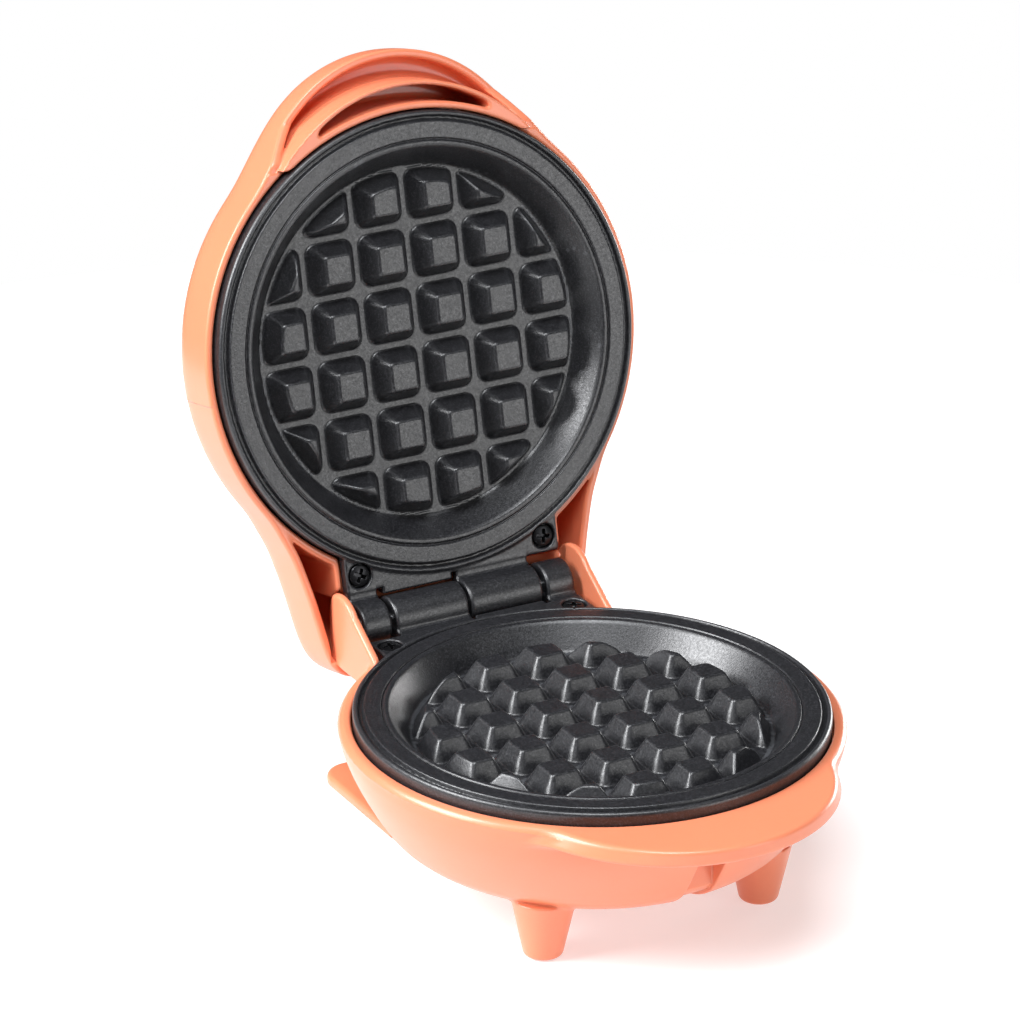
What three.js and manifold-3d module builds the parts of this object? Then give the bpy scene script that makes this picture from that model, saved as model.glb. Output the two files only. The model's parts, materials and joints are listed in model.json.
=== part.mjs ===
// Mini waffle maker, standing with its lid open. Millimetres, +Z up, front at -Y, hinge at the rear.
//
// Everything is first laid out closed, with the centre of the cooking plates at x = 0, y = 0 and the
// plane where the two plates meet at z = 0. The lid's pieces are then turned open about the hinge pin,
// and the whole object is moved so that it stands on z = 0 with its bounding box centred on x = y = 0.
import * as THREE from "three";
import { mergeVertices } from "three/addons/utils/BufferGeometryUtils.js";
import Module from "manifold-3d";

const wasm = await Module();
wasm.setup();

// ---- driving dimensions ----
const PITCH = 15; // one waffle square
const PLATE_R = 59.1; // cooking plate, outer edge
const FACE_Z = 0.15; // each plate's flat ring stops this far from the parting plane
const FLOOR_Z = 7.25; // depth of the waffle well below the parting plane
const PLATE_BOTTOM_Z = 10.4; // underside of the casting
const WELL_FLOOR_R = 45.3; // foot of the well's sloping wall
const WELL_TOP_R = 50.2; // top of the well's sloping wall
const SKIRT_Z = 8; // lower edge of the plate's skirt
const STUD_FOOT = 6.6; // half width of a stud at the well floor
const STUD_TOP = 3.65; // half width of a stud at its top
const STUD_TOP_Z = 1.9; // a stud's top lies this far below the parting plane
const STUD_FIELD_R = 44; // the studs are trimmed by this circle at the floor
const EAR_HALF = 30.8; // the plate's rear ear: half width, rear edge, top and underside
const EAR_REAR = 60;
const EAR_TOP_Z = 1;
const EAR_BOTTOM_Z = 4.2;
const EAR_SCREW = [26.7, 55.7];
const ARM_BOTTOM_Z = 3.2; // underside of the arms that carry the knuckles
const HINGE_Y = 68; // hinge axis, along X at the parting plane
const KNUCKLE_R = 6;
const PIN_R = 1.85;
const PIN_HALF = 32.3;
const LONG_KNUCKLE = [-21.2, -0.4]; // x range on the base plate; the lid's casting is the same, turned over
const SHORT_KNUCKLE = [22.6, 30.6];
const GAP = 0.3; // clearance between separate pieces
const LID_OPEN = 103.33; // degrees from closed

const RIM_Z = 3.4; // the shells' edges stop this far from the parting plane
const OPENING_R = PLATE_R + 0.4; // round opening that takes the plate
const CHAMBER_R = 57.6; // heater chamber behind the plate
const WALL = 2.2; // moulded wall thickness
const HANDLE_Y = -35.1; // the lid's handle is an arc about this centre
const HANDLE_R = 39.4;
const HANDLE_RISE = [51, 3.4, 60, 9]; // its edge climbs from z 3.4 at y -51 to z 9 at y -60, for the fingers
const LAND_Z = 0.8; // edge of the crescent between handle and plate
const RIB_Y = -22; // that crescent's outer arc
const RIB_R = 45;
const TAB_Y = -36.4; // thumb tab on the base
const TAB_R = 41.2;
const TAB_THICK = 4.2;
const GROUND_Z = -47; // table height below the parting plane
const FOOT = { x: 30.6, y: -30.4, bottomR: 4.8, topR: 8.2, topZ: -31 };
const HEEL = { half: 35, front: 40, rear: 80.2, thick: 3, corner: 7 };
const COLUMN = { half: 25, front: 41, rear: 74, top: -19.5 };
const COVER_R = 30.7;
const COWL_R = 9.2; // rear wall of the hinge cowl, round the hinge axis
const CHEEK = [32.9, 34.9]; // inner and outer faces of the cowl's two cheeks
const AROUND = 48; // facets round the big turned shapes

const CORAL = 0xee956b;
const BLACK_COATING = 0x2b2c30;
const BLACK_STEEL = 0x1d1d1f;
const STEEL = 0xb9bcc0;

// ---- solids from three.js geometry ----
function solidOf(geometry) {
  const bare = new THREE.BufferGeometry();
  const source = geometry.index ? geometry.toNonIndexed() : geometry;
  bare.setAttribute("position", source.getAttribute("position"));
  const merged = mergeVertices(bare, 1e-4);
  const index = merged.index.array;
  const kept = [];
  for (let i = 0; i < index.length; i += 3) {
    const [a, b, c] = [index[i], index[i + 1], index[i + 2]];
    if (a !== b && b !== c && a !== c) kept.push(a, b, c);
  }
  const make = (tris) =>
    new wasm.Manifold(
      new wasm.Mesh({
        numProp: 3,
        vertProperties: new Float32Array(merged.attributes.position.array),
        triVerts: new Uint32Array(tris),
      }),
    );
  const solid = make(kept);
  if (solid.volume() > 0) return solid;
  const turned = [];
  for (let i = 0; i < kept.length; i += 3) {
    turned.push(kept[i], kept[i + 2], kept[i + 1]);
  }
  return make(turned);
}

// A closed (radius, z) outline turned about the Z axis.
function turned(outline, around = AROUND) {
  const points = outline.map(([r, z]) => new THREE.Vector2(r, z));
  if (outline[0][0] > 0) points.push(points[0].clone());
  const geometry = new THREE.LatheGeometry(points, around);
  geometry.rotateX(Math.PI / 2);
  return solidOf(geometry);
}

function cylinderZ(radius, z0, z1, x = 0, y = 0, around = 16) {
  const geometry = new THREE.CylinderGeometry(radius, radius, z1 - z0, around);
  geometry.rotateX(Math.PI / 2);
  geometry.translate(x, y, (z0 + z1) / 2);
  return solidOf(geometry);
}

function cylinderX(radius, x0, x1, y = HINGE_Y, z = 0, around = 24) {
  const geometry = new THREE.CylinderGeometry(radius, radius, x1 - x0, around);
  geometry.rotateZ(Math.PI / 2);
  geometry.translate((x0 + x1) / 2, y, z);
  return solidOf(geometry);
}

function box(x0, x1, y0, y1, z0, z1) {
  const geometry = new THREE.BoxGeometry(x1 - x0, y1 - y0, z1 - z0);
  geometry.translate((x0 + x1) / 2, (y0 + y1) / 2, (z0 + z1) / 2);
  return solidOf(geometry);
}

// A plan outline [[x, y], ...] raised from z0 to z1.
function raised(outline, z0, z1) {
  const shape = new THREE.Shape(outline.map(([x, y]) => new THREE.Vector2(x, y)));
  const geometry = new THREE.ExtrudeGeometry(shape, { depth: z1 - z0, bevelEnabled: false });
  geometry.translate(0, 0, z0);
  return solidOf(geometry);
}

// A side outline [[y, z], ...] drawn out from x0 to x1.
function drawnAcross(outline, x0, x1) {
  const shape = new THREE.Shape(outline.map(([y, z]) => new THREE.Vector2(y, z)));
  const geometry = new THREE.ExtrudeGeometry(shape, { depth: x1 - x0, bevelEnabled: false });
  const across = new THREE.Matrix4().makeBasis(
    new THREE.Vector3(0, 1, 0),
    new THREE.Vector3(0, 0, 1),
    new THREE.Vector3(1, 0, 0),
  );
  geometry.applyMatrix4(across);
  geometry.translate(x0, 0, 0);
  return solidOf(geometry);
}

// A stack of rings with equal numbers of [x, y, z] points, closed by a flat fan at each end.
function lofted(rings) {
  const count = rings[0].length;
  const corners = [];
  const face = (a, b, c) => corners.push(...a, ...b, ...c);
  const middle = (ring) => {
    const sum = [0, 0, 0];
    ring.forEach((p) => p.forEach((v, k) => (sum[k] += v / count)));
    return sum;
  };
  for (let level = 0; level + 1 < rings.length; level += 1) {
    for (let i = 0; i < count; i += 1) {
      const j = (i + 1) % count;
      const [a, b] = [rings[level][i], rings[level][j]];
      const [c, d] = [rings[level + 1][i], rings[level + 1][j]];
      face(a, b, d);
      face(a, d, c);
    }
  }
  const [first, last] = [rings[0], rings[rings.length - 1]];
  for (let i = 0; i < count; i += 1) {
    const j = (i + 1) % count;
    face(middle(first), first[j], first[i]);
    face(middle(last), last[i], last[j]);
  }
  const geometry = new THREE.BufferGeometry();
  geometry.setAttribute("position", new THREE.BufferAttribute(new Float32Array(corners), 3));
  return solidOf(geometry);
}

function squareRing(x, y, half, z) {
  return [
    [x - half, y - half, z],
    [x + half, y - half, z],
    [x + half, y + half, z],
    [x - half, y + half, z],
  ];
}

// ---- screws ----
// A Phillips screw along Z with its head's top at topZ; the shank points down.
function phillipsScrew([x, y], topZ, head, shank) {
  const outline = [
    [0, topZ],
    [head.r * 0.55, topZ],
    [head.r * 0.9, topZ - head.h * 0.3],
    [head.r, topZ - head.h],
    [shank.r, topZ - head.h],
    [shank.r, topZ - head.h - shank.length],
    [0, topZ - head.h - shank.length],
  ];
  const geometry = new THREE.LatheGeometry(
    outline.map(([r, z]) => new THREE.Vector2(r, z)),
    12,
  );
  geometry.rotateX(Math.PI / 2);
  const arm = head.r * 0.55;
  const blade = head.r * 0.13;
  const floor = topZ - head.h * 0.65;
  const cross = box(-arm, arm, -blade, blade, floor, topZ + 1)
    .add(box(-blade, blade, -arm, arm, floor, topZ + 1));
  return solidOf(geometry).subtract(cross).translate([x, y, 0]);
}

// ---- cooking plate: one casting, used face up in the base and turned over in the lid ----
function studField() {
  const slope = (STUD_FOOT - STUD_TOP) / (FLOOR_Z - STUD_TOP_Z);
  const sunk = 0.4;
  let field = null;
  for (let column = -2.5; column <= 2.5; column += 1) {
    for (let row = -2.5; row <= 2.5; row += 1) {
      if (Math.abs(column) > 2 && Math.abs(row) > 2) continue;
      const stud = lofted([
        squareRing(column * PITCH, row * PITCH, STUD_FOOT + slope * sunk, -FLOOR_Z - sunk),
        squareRing(column * PITCH, row * PITCH, STUD_TOP, -STUD_TOP_Z),
      ]);
      field = field ? field.add(stud) : stud;
    }
  }
  const height = FLOOR_Z - STUD_TOP_Z;
  const cone = [
    [0, -FLOOR_Z - sunk],
    [STUD_FIELD_R + slope * sunk, -FLOOR_Z - sunk],
    [STUD_FIELD_R - slope * height, -STUD_TOP_Z],
    [0, -STUD_TOP_Z],
  ];
  const trim = turned(cone, 36);
  return field.intersect(trim);
}

function cookingPlate() {
  const dish = turned([
    [0, -PLATE_BOTTOM_Z],
    [WELL_FLOOR_R, -PLATE_BOTTOM_Z],
    [51.5, -3.6],
    [57, -3.6],
    [57, -SKIRT_Z],
    [PLATE_R, -SKIRT_Z],
    [PLATE_R, -0.9],
    [58.6, -0.5],
    [57.9, -0.5],
    [57.7, -1.1],
    [56.8, -1.1],
    [56.4, -FACE_Z],
    [50.9, -FACE_Z],
    [WELL_TOP_R, -0.6],
    [WELL_FLOOR_R, -FLOOR_Z],
    [0, -FLOOR_Z],
  ]);
  const ear = box(-EAR_HALF, EAR_HALF, 49, EAR_REAR, -EAR_BOTTOM_Z, -EAR_TOP_Z)
    .subtract(cylinderZ(57.2, -12, 2, 0, 0, AROUND))
    .add(box(0.8, 20.8, EAR_REAR - 1, 61.5, -EAR_BOTTOM_Z, -EAR_TOP_Z));
  let plate = dish.add(ear).add(studField());
  for (const [x0, x1] of [LONG_KNUCKLE, SHORT_KNUCKLE]) {
    const arm = box(x0, x1, EAR_REAR - 0.6, HINGE_Y, -ARM_BOTTOM_Z, -EAR_TOP_Z);
    plate = plate.add(arm).add(cylinderX(KNUCKLE_R, x0, x1));
  }
  plate = plate.subtract(cylinderX(PIN_R + GAP, -40, 40, HINGE_Y, 0, 20));
  for (const side of [-1, 1]) {
    const [x, y] = [side * EAR_SCREW[0], EAR_SCREW[1]];
    plate = plate
      .subtract(cylinderZ(3.25, -EAR_TOP_Z - 1.5, 1, x, y))
      .subtract(cylinderZ(1.75, -12, 1, x, y, 16));
  }
  const boss = cylinderZ(5, -15.3, -PLATE_BOTTOM_Z + 0.5).subtract(cylinderZ(2.2, -16, -9.4));
  return plate.add(boss).subtract(cylinderZ(2.2, -16, -9.4));
}

function earScrew(side) {
  const head = { r: 2.85, h: 1.2 };
  const shank = { r: 1.4, length: 9 };
  return phillipsScrew([side * EAR_SCREW[0], EAR_SCREW[1]], -EAR_TOP_Z, head, shank);
}

// ---- heating parts behind each plate (laid out for the base, below the plate) ----
function heaterRing() {
  const [inner, outer] = [27, 33.5];
  const [from, to] = [-70, 250];
  const steps = 26;
  const outline = [];
  for (let i = 0; i <= steps; i += 1) {
    const a = THREE.MathUtils.degToRad(from + ((to - from) * i) / steps);
    outline.push([outer * Math.cos(a), outer * Math.sin(a)]);
  }
  for (let i = steps; i >= 0; i -= 1) {
    const a = THREE.MathUtils.degToRad(from + ((to - from) * i) / steps);
    outline.push([inner * Math.cos(a), inner * Math.sin(a)]);
  }
  let ring = raised(outline, -14.9, -10.8);
  for (const angle of [from + 4, to - 4]) {
    const a = THREE.MathUtils.degToRad(angle);
    const x = 36 * Math.cos(a);
    const y = 36 * Math.sin(a);
    ring = ring.add(box(x - 2, x + 2, y - 5, y + 5, -14, -12));
  }
  return ring;
}

function heatShield() {
  return turned(
    [
      [2.4, -16.4],
      [46, -16.4],
      [46, -12],
      [45.1, -12],
      [45.1, -15.6],
      [2.4, -15.6],
    ],
    28,
  );
}

function shieldScrew() {
  const outline = [
    [0, -10.2],
    [1.8, -10.2],
    [1.8, -16.8],
    [3.8, -16.8],
    [3.8, -18.9],
    [0, -18.9],
  ];
  return turned(outline, 12);
}

function thermostat() {
  return cylinderZ(8, -22.5, -16.8, 21, 4)
    .add(cylinderZ(6, -25, -22, 21, 4))
    .add(box(14.5, 17, 3, 5, -28.5, -23.5))
    .add(box(25, 27.5, 3, 5, -28.5, -23.5));
}

function thermalFuse() {
  return cylinderX(2.1, -26, -14, 10, -19, 16).add(cylinderX(0.8, -32, -8, 10, -19, 10));
}

function terminalBlock() {
  let block = box(-11, 11, 30.5, 38.5, -32, -25);
  for (const x of [-7, 0, 7]) {
    block = block.subtract(cylinderZ(2, -28.5, -24, x, 34.5, 12));
  }
  return block;
}

// ---- base housing ----
// (radius, z) of the bowl's outside, from the rim down to the flat underside.
const BOWL = [
  [62, -RIM_Z],
  [62.8, -5],
  [62, -8.5],
  [60, -14],
  [57, -20],
  [53.4, -26],
  [50.3, -29.8],
  [45.5, -32.9],
  [39.5, -35.2],
  [34, -36.6],
  [27, -37.4],
];

function arcOutline(cx, cy, radius, from, to, steps) {
  const points = [];
  for (let i = 0; i <= steps; i += 1) {
    const a = THREE.MathUtils.degToRad(from + ((to - from) * i) / steps);
    points.push([cx + radius * Math.cos(a), cy + radius * Math.sin(a)]);
  }
  return points;
}

function bowlBlock(inset) {
  const outline = BOWL.map(([r, z]) => [r - inset, z]);
  outline.push([0, BOWL[BOWL.length - 1][1]]);
  outline.unshift([0, -RIM_Z]);
  return turned(outline);
}

function bowlHollow() {
  return turned([
    [0, 2],
    [OPENING_R, 2],
    [OPENING_R, -SKIRT_Z - 0.4],
    [CHAMBER_R, -SKIRT_Z - 0.4],
    [CHAMBER_R, -13],
    [54.6, -19.6],
    [51.1, -25],
    [48, -28],
    [43.8, -30.6],
    [38.2, -32.7],
    [32.4, -34.1],
    [0, -34.3],
  ]);
}

// Side outline of the hinge cowl: a ramp up from the rim, then a round back about the hinge axis.
function cowlOutline() {
  const back = arcOutline(HINGE_Y, 0, COWL_R, 138, -90, 22);
  return [[46, -11], [46, -RIM_Z], [50.2, -0.8], ...back, [HINGE_Y - 1, -11]];
}

function cowlSpace() {
  const reach = 26;
  const top = THREE.MathUtils.degToRad(36);
  const wedge = [
    [HINGE_Y, 0],
    [HINGE_Y + reach * Math.cos(top), reach * Math.sin(top)],
    [HINGE_Y, 30],
    [40, 30],
    [40, -5.4],
    [HINGE_Y, -5.4],
  ];
  return drawnAcross(wedge, -CHEEK[0], CHEEK[0])
    .add(cylinderX(6.7, -CHEEK[0], CHEEK[0]));
}

function footBlock(x, y) {
  const { bottomR, topR, topZ } = FOOT;
  return turned(
    [
      [0, GROUND_Z],
      [bottomR - 1, GROUND_Z],
      [bottomR, GROUND_Z + 1],
      [topR, topZ],
      [0, topZ],
    ],
    18,
  ).translate([x, y, 0]);
}

function heelOutline() {
  const { half, front, rear, corner } = HEEL;
  return [
    [-half, front],
    [half, front],
    ...arcOutline(half - corner, rear - corner, corner, 0, 90, 6),
    ...arcOutline(-half + corner, rear - corner, corner, 90, 180, 6),
  ];
}

function baseHousing() {
  const tab = cylinderZ(TAB_R, -RIM_Z - TAB_THICK, -RIM_Z, 0, TAB_Y, 48);
  let housing = bowlBlock(0).add(tab);
  const corners = raised(
    [
      [-CHEEK[1], 44],
      [CHEEK[1], 44],
      [CHEEK[1], 71.5],
      [CHEEK[1] - 2, HINGE_Y + COWL_R + 1],
      [-CHEEK[1] + 2, HINGE_Y + COWL_R + 1],
      [-CHEEK[1], 71.5],
    ],
    -12,
    10,
  );
  housing = housing.add(drawnAcross(cowlOutline(), -CHEEK[1], CHEEK[1]).intersect(corners));
  const neck = box(-COLUMN.half, COLUMN.half, 44, HINGE_Y - 1, -26, -9);
  const column = drawnAcross(
    [
      [COLUMN.front, GROUND_Z + 1],
      [COLUMN.rear, GROUND_Z + 1],
      [COLUMN.rear, COLUMN.top - 1.5],
      [HINGE_Y - 3, COLUMN.top],
      [COLUMN.front, COLUMN.top],
    ],
    -COLUMN.half,
    COLUMN.half,
  );
  const heel = raised(heelOutline(), GROUND_Z, GROUND_Z + HEEL.thick);
  housing = housing.add(neck).add(column).add(heel);
  for (const side of [-1, 1]) housing = housing.add(footBlock(side * FOOT.x, FOOT.y));

  const inside = COLUMN.half - WALL;
  const columnHollow = box(-inside, inside, 44, COLUMN.rear - WALL, GROUND_Z + HEEL.thick, COLUMN.top - 4)
    .subtract(bowlBlock(0).subtract(box(-inside, inside, 30, 60, -33, -10)));
  let hollow = bowlHollow();
  hollow = hollow.subtract(box(-6.5, 6.5, -70, -49, -40, -10));
  hollow = hollow.subtract(box(-10, 10, 30.5, 38.5, -40, -32.3));
  housing = housing.subtract(hollow).subtract(cowlSpace()).subtract(columnHollow);

  // Thumb channel down the front of the bowl, under the tab.
  const underTab = -RIM_Z - TAB_THICK;
  const channel = box(-4, 4, -90, -40, -50, underTab)
    .subtract(bowlBlock(1))
    .add(box(-4, 4, -90, -51.5, -50, underTab));
  housing = housing.subtract(channel);

  // Round opening for the bottom cover, with a ledge behind it.
  housing = housing
    .subtract(cylinderZ(COVER_R + GAP, -40, -35, 0, 0, 48))
    .subtract(cylinderZ(21, -40, -30, 0, 0, 48));
  for (const angle of [90, 210, 330]) {
    const a = THREE.MathUtils.degToRad(angle);
    housing = housing.subtract(cylinderZ(1.5, -40, -33, 26 * Math.cos(a), 26 * Math.sin(a), 12));
  }
  for (const side of [-1, 1]) {
    const [x, y] = [side * EAR_SCREW[0], EAR_SCREW[1]];
    housing = housing
      .add(cylinderZ(3.1, -10.5, -EAR_BOTTOM_Z - GAP, x, y).subtract(cylinderZ(PLATE_R + 0.4, -12, 2, 0, 0, AROUND)))
      .subtract(cylinderZ(1.7, -12.5, 2, x, y, 16));
  }
  return housing.subtract(cordHole());
}

// The cord enters low in the back of the column.
const CORD_Z = -31;

function turnedAlongY(outline, y, z, around) {
  const geometry = new THREE.LatheGeometry(
    [...outline, outline[0]].map(([r, along]) => new THREE.Vector2(r, along)),
    around,
  );
  geometry.translate(0, y, z);
  return solidOf(geometry);
}

function cordHole() {
  const geometry = new THREE.CylinderGeometry(4.4, 4.4, 12, 24);
  geometry.translate(0, COLUMN.rear, CORD_Z);
  return solidOf(geometry);
}

function cordBushing() {
  return turnedAlongY(
    [
      [2.8, -3.4],
      [4.1, -3.4],
      [4.1, 0.3],
      [6, 0.3],
      [5.6, 2.2],
      [2.8, 2.2],
    ],
    COLUMN.rear,
    CORD_Z,
    16,
  );
}

function bottomCover() {
  let cover = cylinderZ(COVER_R, -36.9, -35.3, 0, 0, 48);
  for (const angle of [90, 210, 330]) {
    const a = THREE.MathUtils.degToRad(angle);
    cover = cover.subtract(cylinderZ(1.5, -40, -33, 26 * Math.cos(a), 26 * Math.sin(a), 12));
  }
  for (const y of [-9, 0, 9]) {
    cover = cover.subtract(box(-12, 12, y - 1, y + 1, -40, -33));
  }
  return cover;
}

// Head below the cover, shank pointing up into the ledge.
function coverScrew(angle) {
  const a = THREE.MathUtils.degToRad(angle);
  const screw = phillipsScrew([0, 0], 0, { r: 2.6, h: 1.3 }, { r: 1.2, length: 2.6 });
  return screw.rotate([180, 0, 0]).translate([26 * Math.cos(a), 26 * Math.sin(a), -38.5]);
}

// ---- lid housing, closed ----
const LID_CENTRE_Y = 6;
const LID_R = 61.5;
const REAR_OUTLINE = [
  [49.4, 36],
  [43.7, 48.5],
  [40.6, 60],
  [38.6, 70],
  [37.4, 76],
  [35.5, 80],
  [31.5, 82.1],
  [0, 82.6],
];
// (height above the parting plane, share of the plan radius given up) from the edge to the crown.
const LID_DOME = [
  [RIM_Z, 0],
  [15, 0.002],
  [18.5, 0.009],
  [21.5, 0.03],
  [24, 0.07],
  [26, 0.13],
  [27.6, 0.22],
  [28.7, 0.34],
  [29.4, 0.52],
  [29.7, 0.8],
];

function rayToCircle(dx, dy, cy, radius) {
  const offset = LID_CENTRE_Y - cy;
  const along = offset * dy;
  const inside = along * along - offset * offset + radius * radius;
  return inside > 0 ? -along + Math.sqrt(inside) : 0;
}

function rayToRear(dx, dy) {
  const x = Math.abs(dx);
  for (let i = 0; i + 1 < REAR_OUTLINE.length; i += 1) {
    const [ax, ay] = [REAR_OUTLINE[i][0], REAR_OUTLINE[i][1] - LID_CENTRE_Y];
    const [bx, by] = [REAR_OUTLINE[i + 1][0], REAR_OUTLINE[i + 1][1] - LID_CENTRE_Y];
    const cross = x * (by - ay) - dy * (bx - ax);
    if (Math.abs(cross) < 1e-9) continue;
    const reach = (ax * (by - ay) - ay * (bx - ax)) / cross;
    const share = (ax * dy - ay * x) / cross;
    if (reach > 0 && share >= -1e-9 && share <= 1 + 1e-9) return reach;
  }
  return 0;
}

// The larger of two reaches, with the corner between them filled over a blend width.
function blended(a, b, width) {
  const close = Math.max(width - Math.abs(a - b), 0) / width;
  return Math.max(a, b) + (close * close * width) / 4;
}

function lidReach(angle) {
  const [dx, dy] = [Math.cos(angle), Math.sin(angle)];
  const round = rayToCircle(dx, dy, 0, LID_R);
  const handle = rayToCircle(dx, dy, HANDLE_Y, HANDLE_R);
  return Math.max(blended(round, handle, 7), rayToRear(dx, dy));
}

// Directions of the plan rings' corners: even steps, and closer steps round the two rear corners.
function ringAngles() {
  const degrees = [];
  for (let a = 0; a < 360; a += 7.5) degrees.push(a);
  for (const a of [57, 62, 64.5, 69]) degrees.push(a, 180 - a);
  return degrees.sort((a, b) => a - b).map(THREE.MathUtils.degToRad);
}

function lidRing(z, share, inset) {
  const ring = ringAngles().map((angle) => {
    const reach = lidReach(angle) * (1 - share);
    return [reach * Math.cos(angle), LID_CENTRE_Y + reach * Math.sin(angle), z];
  });
  return ring.map(([x, y], i) => {
    const before = ring[(i + ring.length - 1) % ring.length];
    const after = ring[(i + 1) % ring.length];
    const [tx, ty] = [after[0] - before[0], after[1] - before[1]];
    const length = Math.hypot(tx, ty);
    return [x - (ty / length) * inset, y + (tx / length) * inset, z];
  });
}

function lidBlock() {
  return lofted(LID_DOME.map(([z, share]) => lidRing(z, share, 0)));
}

function lidHollow() {
  const rings = LID_DOME.map(([z, share]) => lidRing(z - WALL, share, WALL));
  rings[0] = lidRing(0, 0, WALL);
  return lofted(rings);
}

function lidHousing() {
  const within = lidHollow();
  const chamber = cylinderZ(CHAMBER_R, SKIRT_Z + 0.4, 40, 0, 0, AROUND).intersect(within);
  const opening = cylinderZ(OPENING_R, 0, SKIRT_Z + 0.41, 0, 0, AROUND);
  const plateWall = cylinderZ(LID_R, -1, 60, 0, 0, AROUND);
  const earSlot = box(-EAR_HALF - GAP, EAR_HALF + GAP, 40, 66, 0, EAR_BOTTOM_Z + 1);
  const earBlock = box(-EAR_HALF - 1.7, EAR_HALF + 1.7, 30, 61, -1, 60);
  const hingePocket = within.intersect(box(-60, 60, 38, 90, 0, 60)).subtract(plateWall).subtract(earBlock);
  const [frontY, frontZ, backY, backZ] = HANDLE_RISE;
  const underHandle = drawnAcross(
    [
      [-frontY, -5],
      [-frontY, frontZ],
      [-backY, backZ],
      [-90, backZ],
      [-90, -5],
    ],
    -60,
    60,
  )
    .subtract(cylinderZ(RIB_R, -10, 40, 0, RIB_Y, 48))
    .subtract(cylinderZ(LID_R, -10, 40, 0, 0, AROUND));
  const land = cylinderZ(RIB_R, LAND_Z, RIM_Z + 4, 0, RIB_Y, 48)
    .intersect(box(-60, 60, -90, -49.5, 0, 60))
    .subtract(cylinderZ(LID_R - 1, -10, 40, 0, 0, AROUND).subtract(cylinderZ(RIB_R, -10, 40, 0, RIB_Y, 48)));
  const gripPocket = cylinderZ(HANDLE_R - 1.5, 0, 14.5, 0, HANDLE_Y, 48)
    .intersect(within)
    .subtract(cylinderZ(RIB_R, -1, 60, 0, RIB_Y, 48))
    .subtract(cylinderZ(LID_R + 0.5, -1, 60, 0, 0, AROUND));
  const innerPocket = cylinderZ(42, -1, 16, 0, -23.7, 48)
    .subtract(cylinderZ(61.3, -1, 60, 0, 0, AROUND))
    .intersect(box(-24.5, 24.5, -90, -40, 0, 16));
  let housing = lidBlock()
    .subtract(underHandle)
    .add(land)
    .subtract(chamber)
    .subtract(opening)
    .subtract(earSlot)
    .subtract(hingePocket)
    .subtract(gripPocket)
    .subtract(innerPocket);
  housing = housing.subtract(cylinderX(9.8, -36, 36, HINGE_Y, 0, 32));
  for (const side of [-1, 1]) {
    housing = housing.subtract(cylinderZ(1.7, 0, 11.2, side * EAR_SCREW[0], EAR_SCREW[1], 16));
  }
  return housing;
}

// ---- assembly ----
const lidPieces = new Set();
const pieces = [];

function piece(name, solid, color, roughness, metalness, inLid = false) {
  pieces.push({ name, solid, color, roughness, metalness });
  if (inLid) lidPieces.add(name);
}

const turnedOver = (solid) => solid.rotate([0, 180, 0]);

piece("base_housing", baseHousing(), CORAL, 0.28, 0);
piece("bottom_cover", bottomCover(), CORAL, 0.4, 0);
piece("cover_screw_rear", coverScrew(90), STEEL, 0.35, 1);
piece("cover_screw_left", coverScrew(210), STEEL, 0.35, 1);
piece("cover_screw_right", coverScrew(330), STEEL, 0.35, 1);
piece("cord_bushing", cordBushing(), BLACK_STEEL, 0.6, 0);
piece("terminal_block", terminalBlock(), 0xe9e6de, 0.5, 0);
piece("base_plate", cookingPlate(), BLACK_COATING, 0.5, 0.2);
piece("base_ear_screw_left", earScrew(-1), BLACK_STEEL, 0.35, 0.9);
piece("base_ear_screw_right", earScrew(1), BLACK_STEEL, 0.35, 0.9);
piece("base_heater", heaterRing(), 0x8b8782, 0.45, 0.8);
piece("base_heat_shield", heatShield(), STEEL, 0.3, 1);
piece("base_shield_screw", shieldScrew(), STEEL, 0.35, 1);
piece("base_thermostat", thermostat(), 0xd8d2c4, 0.5, 0);
piece("base_thermal_fuse", thermalFuse(), 0xc9c9c6, 0.35, 0.8);
piece("hinge_pin", cylinderX(PIN_R, -PIN_HALF, PIN_HALF, HINGE_Y, 0, 20), STEEL, 0.3, 1);

piece("lid_housing", lidHousing(), CORAL, 0.28, 0, true);
piece("lid_plate", turnedOver(cookingPlate()), BLACK_COATING, 0.5, 0.2, true);
piece("lid_ear_screw_left", turnedOver(earScrew(1)), BLACK_STEEL, 0.35, 0.9, true);
piece("lid_ear_screw_right", turnedOver(earScrew(-1)), BLACK_STEEL, 0.35, 0.9, true);
piece("lid_heater", turnedOver(heaterRing()), 0x8b8782, 0.45, 0.8, true);
piece("lid_heat_shield", turnedOver(heatShield()), STEEL, 0.3, 1, true);
piece("lid_shield_screw", turnedOver(shieldScrew()), STEEL, 0.35, 1, true);
piece("lid_thermal_fuse", turnedOver(thermalFuse()), 0xc9c9c6, 0.35, 0.8, true);

for (const entry of pieces) {
  if (!lidPieces.has(entry.name)) continue;
  entry.solid = entry.solid
    .translate([0, -HINGE_Y, 0])
    .rotate([-LID_OPEN, 0, 0])
    .translate([0, HINGE_Y, 0]);
}

// Stand the object on z = 0, centred on its bounding box.
const low = [Infinity, Infinity, Infinity];
const high = [-Infinity, -Infinity, -Infinity];
for (const { solid } of pieces) {
  const { min, max } = solid.boundingBox();
  for (let k = 0; k < 3; k += 1) {
    low[k] = Math.min(low[k], min[k]);
    high[k] = Math.max(high[k], max[k]);
  }
}
const shift = [-(low[0] + high[0]) / 2, -(low[1] + high[1]) / 2, -low[2]];

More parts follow.
